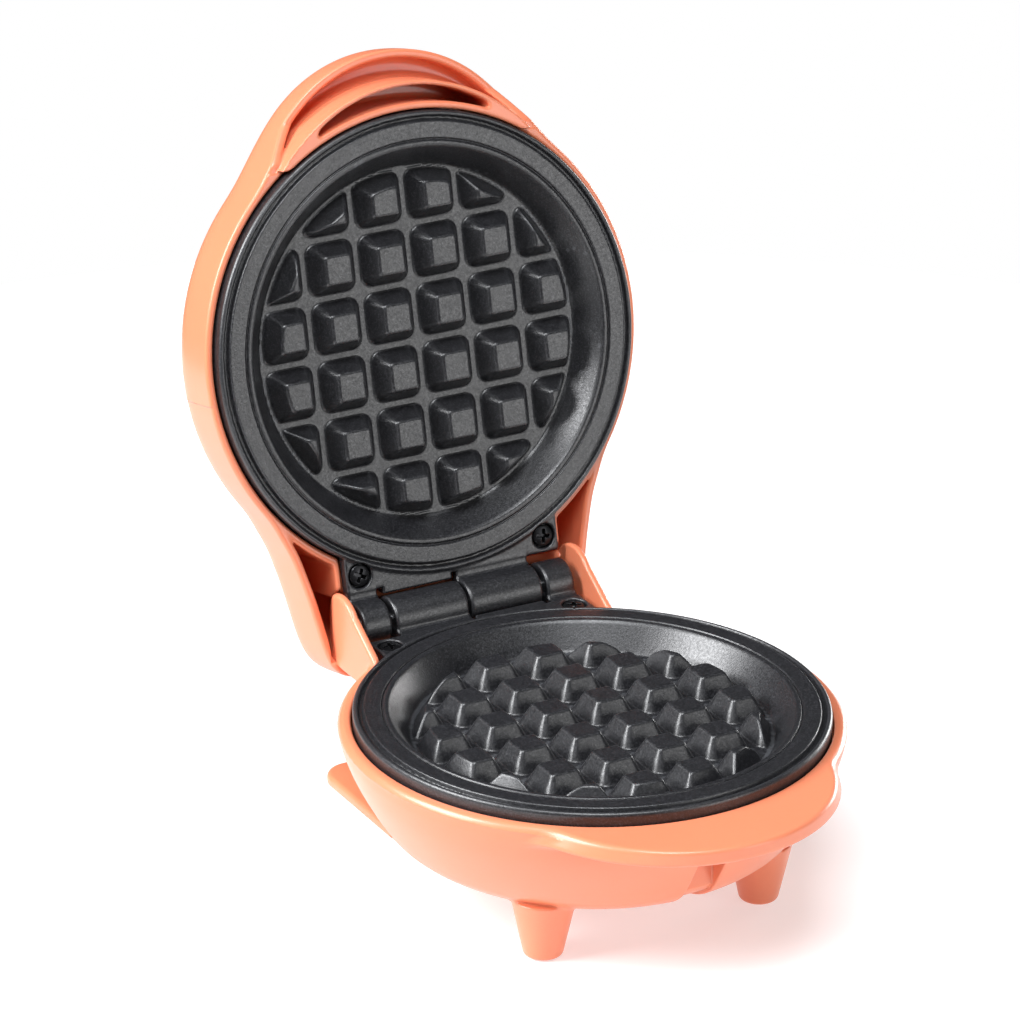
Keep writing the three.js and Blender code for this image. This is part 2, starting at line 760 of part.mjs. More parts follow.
function meshOf({ name, solid, color, roughness, metalness }) {
  const moved = solid.translate(shift).getMesh();
  const geometry = new THREE.BufferGeometry();
  const positions = new Float32Array(moved.numVert * 3);
  for (let i = 0; i < moved.numVert; i += 1) {
    const at = i * moved.numProp;
    positions.set(moved.vertProperties.subarray(at, at + 3), i * 3);
  }
  geometry.setAttribute("position", new THREE.BufferAttribute(positions, 3));
  geometry.setIndex(new THREE.BufferAttribute(moved.triVerts, 1));
  geometry.computeVertexNormals();
  const mesh = new THREE.Mesh(geometry, new THREE.MeshStandardMaterial({ color, roughness, metalness }));
  mesh.name = name;
  return mesh;
}

const waffleMaker = new THREE.Group();
waffleMaker.name = "waffle_maker";
for (const entry of pieces) waffleMaker.add(meshOf(entry));

export default waffleMaker;
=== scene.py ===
"""Mini waffle maker standing with its lid open: the looks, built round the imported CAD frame.

The moulded and cast pieces are written as distance fields in millimetres, in the "plate frame": lid closed,
centre of the cooking plates at x = 0, y = 0, parting plane at z = 0, front towards -Y. Each field is turned
into a mesh whose points lie on the surface, and the mesh is then put where the CAD frame has the piece.
"""
import json
import math

import bpy
import numpy as np
from mathutils import Matrix, Vector


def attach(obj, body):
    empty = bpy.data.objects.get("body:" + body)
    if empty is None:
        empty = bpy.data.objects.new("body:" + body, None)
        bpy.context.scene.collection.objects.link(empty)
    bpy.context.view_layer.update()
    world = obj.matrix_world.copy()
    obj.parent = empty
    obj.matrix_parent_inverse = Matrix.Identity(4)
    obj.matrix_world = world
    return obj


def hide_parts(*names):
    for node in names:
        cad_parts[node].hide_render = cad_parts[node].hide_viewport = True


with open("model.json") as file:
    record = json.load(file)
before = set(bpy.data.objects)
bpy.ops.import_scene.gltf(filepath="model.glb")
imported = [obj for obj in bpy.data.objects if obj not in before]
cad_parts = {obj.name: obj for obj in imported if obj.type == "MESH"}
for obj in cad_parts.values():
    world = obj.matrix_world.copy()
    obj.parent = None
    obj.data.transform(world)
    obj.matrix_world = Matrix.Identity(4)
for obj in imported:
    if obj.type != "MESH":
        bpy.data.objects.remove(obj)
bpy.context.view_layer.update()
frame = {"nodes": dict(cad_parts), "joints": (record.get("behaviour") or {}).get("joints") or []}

# ---- places that come from the frame ----
HINGE_Y = 68.0  # hinge axis behind the plate's centre, mm
HINGE = Vector(frame["joints"][0]["pos_m"])
LID_OPEN = math.radians(103.33)
TO_ROW = Matrix.Translation(HINGE - Vector((0, HINGE_Y / 1000, 0))) @ Matrix.Scale(0.001, 4)
OPENED = (
    Matrix.Translation((0, HINGE_Y, 0))
    @ Matrix.Rotation(-LID_OPEN, 4, "X")
    @ Matrix.Translation((0, -HINGE_Y, 0))
)
TURNED_OVER = Matrix.Rotation(math.pi, 4, "Y")

# ---- driving dimensions, mm ----
PITCH = 15.0  # from one waffle square to the next
PLATE_R = 59.1
FLOOR_Z = 7.25  # depth of the plate's floor below the parting plane
PLATE_BOTTOM_Z = 10.4
STUD_FOOT = 6.5  # half width of a stud at the floor
STUD_TOP = 3.65  # half width of its top
STUD_TOP_Z = 1.9  # depth of its top
STUD_FIELD_R = 44.0  # the outer studs are cut off by this circle
STUD_SLOPE = (STUD_FOOT - STUD_TOP) / (FLOOR_Z - STUD_TOP_Z)
BOSS_R = 5.0  # threaded boss under the middle of the plate
BOSS_BORE_R = 2.2
EAR_HALF = 30.8  # the ear carries the knuckles and the two plate screws
EAR_REAR = 60.0
EAR_TOP_Z = 1.0
EAR_BOTTOM_Z = 4.2
EAR_SCREW = (26.7, 55.7)
COUNTERBORE_R = 3.25
KNUCKLE_R = 6.0
PIN_R = 1.85
KNUCKLES = ((-21.2, -0.4), (22.6, 30.6))  # from x to x
FILLER = (0.8, 20.8, 61.6)  # x, x and rear edge of the ear's step in front of the other plate's knuckle
SCREW_HOLE_R = 1.7
RIM_Z = 3.4  # the housings' rims stand this far back from the parting plane
OPENING_R = 59.5
CHAMBER_R = 57.6
LEDGE_Z = 8.4
WALL = 2.2

HANDLE_Y = -35.1  # the lid's handle is an arc about this centre
HANDLE_R = 39.25
HANDLE_WALL = 1.5
HANDLE_RISE = (51.0, 60.0, 5.6)  # its edge climbs 5.6 from y -51 to y -60
LAND_Z = 0.8  # edge of the crescent between handle and plate
RIB_Y = -22.0  # that crescent's outer arc
RIB_R = 45.0
INNER_POCKET = (-23.7, 42.0, 24.5, 16.0)  # its arc's centre and radius, half width, and depth
GRIP_DEPTH = 14.5
LID_CENTRE_Y = 6.0
LID_R = 61.5
LID_HINGE_R = 9.8  # the lid is clear of the hinge axis by this much

TAB_TOP = (-37.6, 40.0)  # centre and radius of the thumb tab's upper edge
TAB_BOTTOM = (-33.8, 43.6)
TAB_THICK = 4.2
GROUND_Z = -47.0
FOOT = (30.6, -30.4)
FOOT_R = 4.8
FOOT_TAPER = 0.2125
FOOT_TOP_Z = -31.0
HEEL_HALF = 35.0
HEEL_FRONT = 40.0
HEEL_REAR = 80.2
HEEL_CORNER = 7.0
HEEL_THICK = 3.0
COLUMN_HALF = 25.0
CORD_Z = -31.0
CORD_HOLE_R = 4.4
COWL_R = 9.2  # rear wall of the hinge cowl, round the hinge axis
COWL_SPACE_R = 6.7
CHEEK_IN = 32.9
CHEEK_OUT = 34.9
CHANNEL_HALF = 4.0  # thumb channel down the front of the bowl
CHANNEL_Y = -51.5
COVER_R = 31.0
COVER_OPENING_R = 21.0
COVER_SCREWS = (26.0, (90, 210, 330))  # radius and angles
COVER_SCREW_R = 1.5

# ---- looks of the stage ----
FLOOR_R = 0.42
FLOOR_SIDES = 96
GRID_STEP = 0.5  # cell size for the large meshes, mm
SCREW_STEP = 0.16


# ---- camera ----
def add_camera():
    """A long lens, looking from the left and a little above."""
    azimuth, elevation, roll = (math.radians(angle) for angle in (-29.387, 23.535, 0.525))
    back = Vector((
        math.sin(azimuth) * math.cos(elevation),
        -math.cos(azimuth) * math.cos(elevation),
        math.sin(elevation),
    ))
    right = (-back).cross(Vector((0, 0, 1))).normalized()
    up = right.cross(-back)
    turned_right = math.cos(roll) * right + math.sin(roll) * up
    turned_up = -math.sin(roll) * right + math.cos(roll) * up
    place = TO_ROW @ Vector((-23.8, 0, 57.0)) + back * 1.2888
    data = bpy.data.cameras.new("photo_camera")
    data.lens = 189.66
    data.sensor_width = 36
    data.clip_start = 0.05
    data.clip_end = 60
    camera = bpy.data.objects.new("photo_camera", data)
    camera.matrix_world = Matrix((
        (turned_right.x, turned_up.x, back.x, place.x),
        (turned_right.y, turned_up.y, back.y, place.y),
        (turned_right.z, turned_up.z, back.z, place.z),
        (0, 0, 0, 1),
    ))
    bpy.context.scene.collection.objects.link(camera)
    bpy.context.scene.camera = camera


# ---- distance fields: negative inside, roughly millimetres ----
def round_max(a, b, width):
    """The part in both fields, with the edge between them rounded off."""
    near = np.maximum(width - np.abs(a - b), 0) / width
    return np.maximum(a, b) + near * near * (width / 4)


def round_min(a, b, width):
    """Both fields joined, with the corner between them filled."""
    return -round_max(-a, -b, width)


def cut(a, b, width):
    """Field a with field b taken out of it."""
    return round_max(a, -b, width)


def slab(v, low, high):
    return np.maximum(low - v, v - high)


def block(x, y, z, xs, ys, zs, edge):
    """A box, [low, high] on each axis, with rounded edges."""
    return round_max(round_max(slab(x, *xs), slab(y, *ys), edge), slab(z, *zs), edge)


def barrel(x, y, z, radius, low, high, edge=0.6):
    """A cylinder along X on the hinge axis."""
    return round_max(np.hypot(y - HINGE_Y, z) - radius, slab(x, low, high), edge)


def smooth_line(points, count=24):
    """A Catmull-Rom line through the points."""
    p = np.array(points, float)
    p = np.vstack([2 * p[0] - p[1], p, 2 * p[-1] - p[-2]])
    t = np.linspace(0, 1, count, endpoint=False)[:, None]
    parts = []
    for a, b, c, d in zip(p[:-3], p[1:-2], p[2:-1], p[3:]):
        bend = (2 * a - 5 * b + 4 * c - d) * t**2
        twist = (3 * b - a - 3 * c + d) * t**3
        parts.append(0.5 * (2 * b + (c - a) * t + bend + twist))
    return np.vstack(parts + [p[-2][None, :]])


def softened(values, reach):
    """The values averaged with their neighbours up to reach places away, three times."""
    kernel = np.ones(2 * reach + 1) / (2 * reach + 1)
    for _ in range(3):
        padded = np.pad(values, reach, mode="edge")
        values = np.convolve(padded, kernel, mode="valid")
    return values


def star_table(points, start_z):
    """A shell outline [(radius, height)] seen from (0, start_z), as angle and distance."""
    line = smooth_line(points)
    angle = np.arctan2(np.abs(line[:, 1] - start_z), line[:, 0])
    distance = np.hypot(line[:, 0], line[:, 1] - start_z)
    order = np.argsort(angle)
    return angle[order], distance[order]


def star(table, reach, height):
    """How far (reach, height) lies outside a star_table outline."""
    angle = np.arctan2(np.maximum(height, 0), reach)
    outline = np.interp(angle, *table)
    slope = np.interp(angle, table[0], np.gradient(table[1], table[0]) / table[1])
    return (np.hypot(reach, np.maximum(height, 0)) - outline) / np.sqrt(1 + slope * slope)


# ---- from field to mesh ----
CORNERS = [(i, j, k) for i in (0, 1) for j in (0, 1) for k in (0, 1)]
EDGES = [(a, b) for a in range(8) for b in range(a + 1, 8)
         if sum(abs(p - q) for p, q in zip(CORNERS[a], CORNERS[b])) == 1]


def surface_cells(field, low, high, step):
    """Points and quads of the surface where the field is zero, one point in each grid cell it crosses."""
    axes = [np.arange(a - 1.5 * step, b + 2.5 * step, step) for a, b in zip(low, high)]
    x, y, z = np.meshgrid(*axes, indexing="ij", sparse=True)
    value = np.broadcast_to(field(x, y, z), [len(a) for a in axes])
    inside = value < 0
    nx, ny, nz = (n - 1 for n in inside.shape)
    corner = {c: inside[c[0]:c[0] + nx, c[1]:c[1] + ny, c[2]:c[2] + nz] for c in CORNERS}
    count = np.zeros((nx, ny, nz), np.int8)
    for part in corner.values():
        count += part
    crossed = (count > 0) & (count < 8)
    cells = np.argwhere(crossed)
    number = np.full(crossed.shape, -1, np.int64)
    number[crossed] = np.arange(len(cells))

    values = np.stack([value[tuple((cells + c).T)] for c in CORNERS])
    total = np.zeros((len(cells), 3))
    hits = np.zeros(len(cells))
    for a, b in EDGES:
        va, vb = values[a], values[b]
        across = (va < 0) != (vb < 0)
        share = np.where(across, va / np.where(across, va - vb, 1), 0)[:, None]
        point = np.array(CORNERS[a]) + share * (np.array(CORNERS[b]) - np.array(CORNERS[a]))
        total += np.where(across[:, None], point, 0)
        hits += across
    origin = np.array([a[0] for a in axes])
    points = origin + (cells + total / hits[:, None]) * step

    quads = []
    for axis in range(3):
        u, v = (axis + 1) % 3, (axis + 2) % 3
        near = [slice(1, n) for n in (nx, ny, nz)]
        near[axis] = slice(0, (nx, ny, nz)[axis])
        far = list(near)
        far[axis] = slice(1, (nx, ny, nz)[axis] + 1)
        here, there = inside[tuple(near)], inside[tuple(far)]
        offset = [1, 1, 1]
        offset[axis] = 0
        for going_out in (True, False):
            edge = np.argwhere(here & ~there if going_out else ~here & there) + offset
            ring = []
            for du, dv in ((-1, -1), (0, -1), (0, 0), (-1, 0)):
                cell = edge.copy()
                cell[:, u] += du
                cell[:, v] += dv
                ring.append(number[tuple(cell.T)])
            quads.append(np.stack(ring if going_out else ring[::-1], axis=1))
    return points, np.vstack(quads)


def slope_of(field, p, width=0.03):
    """The field's value and gradient at the points."""
    grad = np.empty_like(p)
    for k in range(3):
        move = np.zeros(3)
        move[k] = width
        ahead, behind = p + move, p - move
        grad[:, k] = (field(*ahead.T) - field(*behind.T)) / (2 * width)
    return field(*p.T), grad


def mesh_of(name, field, low, high, step, matrix):
    """A smooth mesh of the field, moved by matrix, with normals from the field itself."""
    points, quads = surface_cells(field, low, high, step)
    start = points.copy()
    for _ in range(4):
        value, grad = slope_of(field, points)
        size = np.maximum((grad * grad).sum(1), 0.05)
        points = points - (value / size)[:, None] * grad
        points = start + np.clip(points - start, -step, step)
    _, grad = slope_of(field, points, 0.12)
    m = np.array(matrix)
    points = points @ m[:3, :3].T + m[:3, 3]
    normals = grad @ np.linalg.inv(m[:3, :3])
    normals /= np.maximum(np.linalg.norm(normals, axis=1), 1e-9)[:, None]
    mesh = bpy.data.meshes.new(name)
    mesh.vertices.add(len(points))
    mesh.vertices.foreach_set("co", points.astype(np.float32).ravel())
    mesh.loops.add(quads.size)
    mesh.loops.foreach_set("vertex_index", quads.astype(np.int32).ravel())
    mesh.polygons.add(len(quads))
    mesh.polygons.foreach_set("loop_start", np.arange(0, quads.size, 4, dtype=np.int32))
    mesh.update(calc_edges=True)
    mesh.validate()
    mesh.polygons.foreach_set("use_smooth", np.ones(len(mesh.polygons), bool))
    mesh.normals_split_custom_set_from_vertices(normals.tolist())
    return mesh


def piece(name, mesh, material, body, slot, *nodes):
    """An object of the mesh, which rides on a body and stands for CAD nodes."""
    piece_object = bpy.data.objects.new(name, mesh)
    bpy.context.scene.collection.objects.link(piece_object)
    mesh.materials.clear()
    mesh.materials.append(material)
    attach(piece_object, body)
    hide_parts(*nodes)
    return piece_object


# ---- cooking plate ----
def plate_top():
    """Height of the casting's upper side over the distance from its centre."""
    outline = [
        (0, -FLOOR_Z), (45.0, -FLOOR_Z), (45.6, -6.7), (49.75, -0.75), (50.3, -0.2), (50.8, -0.12),
        (51.45, -0.15), (51.6, -0.75), (51.95, -0.75), (52.1, -0.15), (56.35, -0.15),
        (56.75, -1.5), (57.55, -1.5), (57.9, -0.5), (58.6, -0.45), (59.1, -0.6), (62, -0.6),
    ]
    r = np.arange(0, 62, 0.04)
    height = softened(np.interp(r, *np.array(outline).T), 2)
    return r, height, np.gradient(height, r)


PLATE_TOP = plate_top()


def stud_field(x, y, z, r):
    """The tapered studs, one in each square of the grid, the outer ones trimmed to a circle."""
    column, row = np.floor(x / PITCH), np.floor(y / PITCH)
    grow = STUD_SLOPE * (z + FLOOR_Z)
    lean = 1 / math.hypot(1, STUD_SLOPE)
    side_x = (np.abs(x - (column + 0.5) * PITCH) - STUD_FOOT + grow) * lean
    side_y = (np.abs(y - (row + 0.5) * PITCH) - STUD_FOOT + grow) * lean
    side = round_max(side_x, side_y, np.maximum(0.8 - 0.36 * (z + STUD_TOP_Z), 0.6))
    side = round_max(side, (r - STUD_FIELD_R + grow) * lean, 0.9)
    stud = round_max(side, z + STUD_TOP_Z, 0.5)
    far_column = (column > 2) | (column < -3) | ((row > 1) | (row < -2)) & ((column > 1) | (column < -2))
    far_row = (row > 2) | (row < -3)
    return np.where(far_column | far_row, 3.0, stud)


def plate_field(x, y, z):
    """The casting: dish, studs, ear, knuckles and the boss underneath."""
    r = np.hypot(x, y)
    height = np.interp(r, PLATE_TOP[0], PLATE_TOP[1])
    slope = np.interp(r, PLATE_TOP[0], PLATE_TOP[2])
    top = (z - height) / np.sqrt(1 + slope * slope)
    underside = np.maximum(-PLATE_BOTTOM_Z - z, (-z - 3.6 + (51.5 - r) * -1.097) * 0.674)
    underside = np.where(r > 51.5, -3.6 - z, underside)
    dish = round_max(top, r - PLATE_R, 0.9)
    skirt = np.maximum(round_max(dish, -8 - z, 0.6), 57 - r)
    dish = np.minimum(np.maximum(dish, underside), skirt)
    dish = round_min(dish, stud_field(x, y, z, r), 0.4)

    ear_heights = (-EAR_BOTTOM_Z, -EAR_TOP_Z)
    ear = block(x, y, z, (-EAR_HALF, EAR_HALF), (49, EAR_REAR), ear_heights, 0.7)
    ear = np.maximum(ear, 58.3 - r)
    filler = block(x, y, z, FILLER[:2], (EAR_REAR - 1, FILLER[2]), ear_heights, 0.5)
    body = round_min(dish, np.minimum(ear, filler), 0.5)
    for low, high in KNUCKLES:
        arm = block(x, y, z, (low, high), (EAR_REAR - 1.2, HINGE_Y), (-3.2, -EAR_TOP_Z), 0.5)
        knuckle = barrel(x, y, z, KNUCKLE_R, low, high, 0.8)
        body = round_min(body, round_min(arm, knuckle, 1.2), 0.5)
    body = cut(body, barrel(x, y, z, PIN_R + 0.3, -40, 40), 0.3)
    for side in (-1, 1):
        across = np.hypot(x - side * EAR_SCREW[0], y - EAR_SCREW[1])
        body = cut(body, round_max(across - COUNTERBORE_R, -EAR_TOP_Z - 1.5 - z, 0.3), 0.5)
        body = cut(body, across - 1.75, 0.3)
    boss = round_max(r - BOSS_R, slab(z, -15.3, -9.9), 0.5)
    return cut(np.minimum(body, boss), np.maximum(r - BOSS_BORE_R, z + 9.4), 0.3)


# ---- base housing ----
BOWL = star_table([
    (62.8, -4.9), (62, -8.5), (60, -14), (57, -20), (53.4, -26), (50.3, -29.8), (45.5, -32.9),
    (39.5, -35.2), (34, -36.6), (27, -37.35), (10, -37.4), (0, -37.4),
], -5)
BOWL_INSIDE = star_table([
    (57.6, -5.1), (57.6, -13), (54.6, -19.6), (51.1, -25), (48, -28), (43.8, -30.6),
    (38.2, -32.7), (32.4, -34.1), (12, -34.3), (0, -34.3),
], -5)


def bowl_outside(x, y, z):
    """The bowl's outer surface, which draws in a little above its widest place."""
    r = np.hypot(x, y)
    above = r - 62.8 + np.maximum(z + 5, 0) * 0.5
    return np.where(z > -5, above, star(BOWL, r, -5 - z))


def cowl(x, y, z):
    """Two cheeks and a curved rear wall round the knuckles, with a ramp up from the rim."""
    ramp = np.maximum((y - 50.2) * -0.536 + (z + 0.8) * 0.844, y - 61.16)
    ramp = np.maximum(ramp, 46 - y)
    round_back = np.hypot(y - HINGE_Y, z) - COWL_R
    side = np.minimum(np.minimum(ramp, round_back), np.maximum(slab(y, 46, HINGE_Y + COWL_R), z + 2))
    side = round_max(side, -11 - z, 0.5)
    corner = np.abs(x) + np.maximum(y - 71.5, 0) * 0.36 - CHEEK_OUT
    outer = round_max(side, corner, 1.3)
    behind = (HINGE_Y - y, (y - HINGE_Y) * 0.588 - z * 0.809)
    space = np.minimum(np.maximum(y - HINGE_Y, -5.4 - z), np.maximum(*behind))
    space = np.minimum(space, np.hypot(y - HINGE_Y, z) - COWL_SPACE_R)
    space = np.maximum(space, np.abs(x) - CHEEK_IN)
    return outer, np.maximum(space, 40 - y)


def heel_and_column(x, y, z):
    """The flat heel, the hollow column on it, and the way through for the cord."""
    corner_x = np.maximum(np.abs(x) - HEEL_HALF + HEEL_CORNER, 0)
    corner_y = np.maximum(y - HEEL_REAR + HEEL_CORNER, 0)
    plan = np.maximum(np.hypot(corner_x, corner_y) - HEEL_CORNER, HEEL_FRONT - y)
    heel = round_max(plan, slab(z, GROUND_Z, GROUND_Z + HEEL_THICK), 1.4)
    width = (-COLUMN_HALF, COLUMN_HALF)
    inner_width = (WALL - COLUMN_HALF, COLUMN_HALF - WALL)
    column = block(x, y, z, width, (41, 74), (GROUND_Z + 0.5, -19.5), 2.5)
    neck = block(x, y, z, width, (44, HINGE_Y - 1), (-26, -9), 2.0)
    solid = np.maximum(round_min(round_min(column, neck, 2), heel, 2.5), GROUND_Z - z)
    hollow = block(x, y, z, inner_width, (44, 71.8), (GROUND_Z + HEEL_THICK, -23.5), 1.0)
    cord_way = np.maximum(np.hypot(x, z - CORD_Z) - CORD_HOLE_R, slab(y, 68, 80))
    return cut(cut(solid, hollow, 0.6), cord_way, 0.5), cord_way


def foot(x, y, z, side):
    """A tapered foot, wider at its top."""
    across = np.hypot(x - side * FOOT[0], y - FOOT[1])
    cone = (across - FOOT_R - (z - GROUND_Z) * FOOT_TAPER) * 0.978
    return round_max(round_max(cone, GROUND_Z - z, 1.2), z - FOOT_TOP_Z, 0.5)


def base_field(x, y, z):
    """The base moulding, outside first, then what is taken out of it."""
    bowl = bowl_outside(x, y, z)
    depth = np.clip((-RIM_Z - z) / TAB_THICK, 0, 1)
    tab_y, tab_r = (top + depth * (bottom - top) for top, bottom in zip(TAB_TOP, TAB_BOTTOM))
    tab = np.hypot(x, y - tab_y) - tab_r
    tab = round_max(tab, -RIM_Z - TAB_THICK - z, 1.2)
    body = round_min(bowl, tab, 2.2)
    body = round_max(body, z + RIM_Z, 1.2)
    for side in (-1, 1):
        body = round_min(body, foot(x, y, z, side), 0.9)
    outer_cowl, cowl_space = cowl(x, y, z)
    body = round_min(body, outer_cowl, 1.4)
    rear, cord_way = heel_and_column(x, y, z)
    body = round_min(body, cut(rear, bowl + 1.5, 0.5), 1.6)

    r = np.hypot(x, y)
    hollow = np.where(z > -5, r - CHAMBER_R, star(BOWL_INSIDE, r, -5 - z))
    hollow = np.minimum(hollow, np.maximum(r - OPENING_R, -LEDGE_Z - z))
    hollow = np.maximum(hollow, -block(x, y, z, (-6.5, 6.5), (-70, -48.8), (-40, -10), 0.5))
    hollow = np.maximum(hollow, -block(x, y, z, (-10, 10), (30.5, 38.5), (-40, -32.3), 0.5))
    body = cut(body, hollow, 0.9)
    body = cut(body, cowl_space, 0.7)
    channel = np.minimum(y - CHANNEL_Y, np.maximum(-1.0 - bowl, y + 40))
    channel = np.maximum(np.maximum(np.abs(x) - CHANNEL_HALF, channel), z + RIM_Z + TAB_THICK)
    body = cut(body, channel, 0.5)
    body = cut(body, np.maximum(r - COVER_R, slab(z, -40, -35)), 0.5)
    body = cut(body, np.maximum(r - COVER_OPENING_R, slab(z, -40, -30)), 0.5)
    for side in (-1, 1):
        across = np.hypot(x - side * EAR_SCREW[0], y - EAR_SCREW[1])
        boss = np.maximum(np.maximum(across - 3.1, slab(z, -10.5, -4.5)), 59.5 - r)
        body = np.minimum(body, boss)
        body = cut(body, np.maximum(across - SCREW_HOLE_R, -12.5 - z), 0.3)
    ring, angles = COVER_SCREWS
    for angle in angles:
        place = math.radians(angle)
        across = np.hypot(x - ring * math.cos(place), y - ring * math.sin(place))
        body = cut(body, np.maximum(across - COVER_SCREW_R, slab(z, -40, -33)), 0.3)
    return cut(body, cord_way, 0.3)


# ---- lid housing, closed ----
def lid_plan():
    """How far the lid reaches from its centre in each direction."""
    angle = np.radians(np.arange(-180, 180.25, 0.25))
    dx, dy = np.cos(angle), np.sin(angle)

    def to_circle(cy, radius):
        offset = LID_CENTRE_Y - cy
        along = offset * dy
        inside = along * along - offset * offset + radius * radius
        return np.where(inside > 0, -along + np.sqrt(np.maximum(inside, 0)), 0)

    rear = np.array([
        (49.4, 36), (43.7, 48.5), (40.6, 60), (38.6, 70),
        (37.4, 76), (35.5, 80), (31.5, 82.1), (0, 82.6),
    ])
    rear = np.vstack([rear, rear[-2::-1] * (-1, 1)])
    rear_angle = np.arctan2(rear[:, 1] - LID_CENTRE_Y, rear[:, 0])
    share_of = np.interp(angle, rear_angle, np.arange(len(rear)))
    reach = np.zeros_like(angle)
    for i, turn in enumerate(angle):
        if not rear_angle[0] <= turn <= rear_angle[-1]:
            continue
        k = min(int(share_of[i]), len(rear) - 2)
        a, b = rear[k] - (0, LID_CENTRE_Y), rear[k + 1] - (0, LID_CENTRE_Y)
        cross = dx[i] * (b - a)[1] - dy[i] * (b - a)[0]
        reach[i] = (a[0] * (b - a)[1] - a[1] * (b - a)[0]) / cross
    round_part, handle = to_circle(0, LID_R), to_circle(HANDLE_Y, HANDLE_R)
    reach = softened(np.maximum(round_max(round_part, handle, 7), reach), 7)
    return angle, reach, np.gradient(reach, angle)


LID_PLAN = lid_plan()
LID_UNIT = 62.0  # the profile is drawn for this reach and stretched to the plan's
LID_PROFILE = [  # share of the reach, height
    (1, 0), (1, 3.4), (1, 9), (0.998, 15), (0.991, 18.5), (0.97, 21.5), (0.93, 24), (0.87, 26),
    (0.78, 27.6), (0.66, 28.65), (0.48, 29.25), (0.2, 29.5), (0, 29.5),
]
LID_SIDE = star_table([(LID_UNIT * share, height) for share, height in LID_PROFILE], 0)


def lid_outside(x, y, z):
    """How far a point lies outside the lid's dome."""
    dy = y - LID_CENTRE_Y
    angle = np.arctan2(dy, x)
    reach = np.interp(angle, LID_PLAN[0], LID_PLAN[1])
    tilt = np.interp(angle, LID_PLAN[0], LID_PLAN[2]) / reach
    across = np.hypot(x, dy)
    shrunk = across * LID_UNIT / reach
    rise = np.maximum(z, 0)
    outside = star(LID_SIDE, shrunk, rise)
    flat = np.clip(shrunk / np.maximum(np.hypot(shrunk, rise * 1.6), 1e-6), 0, 1)
    real = 1 + flat * (reach / LID_UNIT / np.sqrt(1 + tilt * tilt) - 1)
    return outside * real


def lid_field(x, y, z):
    """The lid moulding, closed, rim down: dome, handle, crescent, pockets and hinge skirt."""
    shell = lid_outside(x, y, z)
    r = np.hypot(x, y)
    within = shell + WALL
    rib = np.hypot(x, y - RIB_Y) - RIB_R
    handle = np.hypot(x, y - HANDLE_Y) - HANDLE_R + HANDLE_WALL
    start, end, height = HANDLE_RISE
    climb = RIM_Z + height * np.clip((-y - start) / (end - start), 0, 1)
    body = round_max(shell, RIM_Z - z, 1.1)
    under = np.maximum(np.maximum(z - climb, y + start - 1.5), LID_R - r)
    body = cut(body, np.maximum(under, -rib), 0.9)
    land = np.maximum(np.maximum(rib, y + 49.5), slab(z, LAND_Z, 8))
    body = round_min(body, round_max(land, LAND_Z - z, 0.6), 0.4)
    chamber = np.maximum(np.maximum(r - CHAMBER_R, within), LEDGE_Z - z)
    opening = np.maximum(r - OPENING_R, z - LEDGE_Z - 0.01)
    body = cut(body, np.minimum(chamber, opening), 0.9)
    ear_slot = np.maximum(np.maximum(np.abs(x) - EAR_HALF - 0.3, slab(y, 40, 66)), z - 5.2)
    body = cut(body, ear_slot, 0.5)

    ear_block = np.maximum(np.abs(x) - EAR_HALF - 1.7, y - 61)
    hinge_pocket = round_max(round_max(within, LID_R - r, 1.0), -ear_block, 1.0)
    body = cut(body, np.maximum(hinge_pocket, 38 - y), 0.9)
    grip = round_max(round_max(np.maximum(handle, within), -rib, 1.2), LID_R + 0.5 - r, 1.5)
    body = cut(body, round_max(grip, z - GRIP_DEPTH, 2.0), 0.9)
    arc_y, arc_r, half, depth = INNER_POCKET
    inner = round_max(np.hypot(x, y - arc_y) - arc_r, 61.3 - r, 0.6)
    inner = round_max(round_max(inner, np.abs(x) - half, 1.6), z - depth, 1.5)
    body = cut(body, np.maximum(inner, y + 40), 0.7)
    body = cut(body, barrel(x, y, z, LID_HINGE_R, -36, 36), 0.6)
    for side in (-1, 1):
        across = np.hypot(x - side * EAR_SCREW[0], y - EAR_SCREW[1])
        body = cut(body, np.maximum(across - SCREW_HOLE_R, z - 11.2), 0.3)
    return body


# ---- fittings ----
def phillips_field(radius, height, shank_r, shank_length):
    """A pan-head screw along Z with its top at z = 0."""
    ball = (radius**2 + (0.42 * height) ** 2) / (2 * 0.42 * height)

    def field(x, y, z):
        r = np.hypot(x, y)
        crown = np.sqrt(r * r + (z + ball) ** 2) - ball
        head = round_max(round_max(r - radius, crown, 0.35), -height - z, 0.25)
        shank = np.maximum(r - shank_r, slab(z, -height - shank_length, -height + 0.2))
        arm, blade = 0.64 * radius, 0.15 * radius
        along_x = round_max(np.abs(x) - arm, np.abs(y) - blade, 0.15)
        along_y = round_max(np.abs(y) - arm, np.abs(x) - blade, 0.15)
        cross = np.maximum(round_min(along_x, along_y, 0.35), -1.5 * height - z)
        return cut(np.minimum(head, shank), cross, 0.12)

    return field


def add_screws(material):
    """The four black screws that hold the plates' ears."""
    field = phillips_field(2.85, 1.2, 1.4, 9)
    for body, turn in (("base", Matrix.Identity(4)), ("lid", OPENED @ TURNED_OVER)):
        for side, word in ((-1, "left"), (1, "right")):
            if body == "lid":
                side = -side
            place = Matrix.Translation((side * EAR_SCREW[0], EAR_SCREW[1], -EAR_TOP_Z))
            twist = Matrix.Rotation(math.radians(28 + 37 * side), 4, "Z")
            name = f"{body}_plate_screw_{word}"
            matrix = TO_ROW @ turn @ place @ twist
            mesh = mesh_of(name, field, (-3, -3, -10.4), (3, 3, 0.2), SCREW_STEP, matrix)
            piece(name, mesh, material, body, "black_screw", f"{body}_ear_screw_{word}")


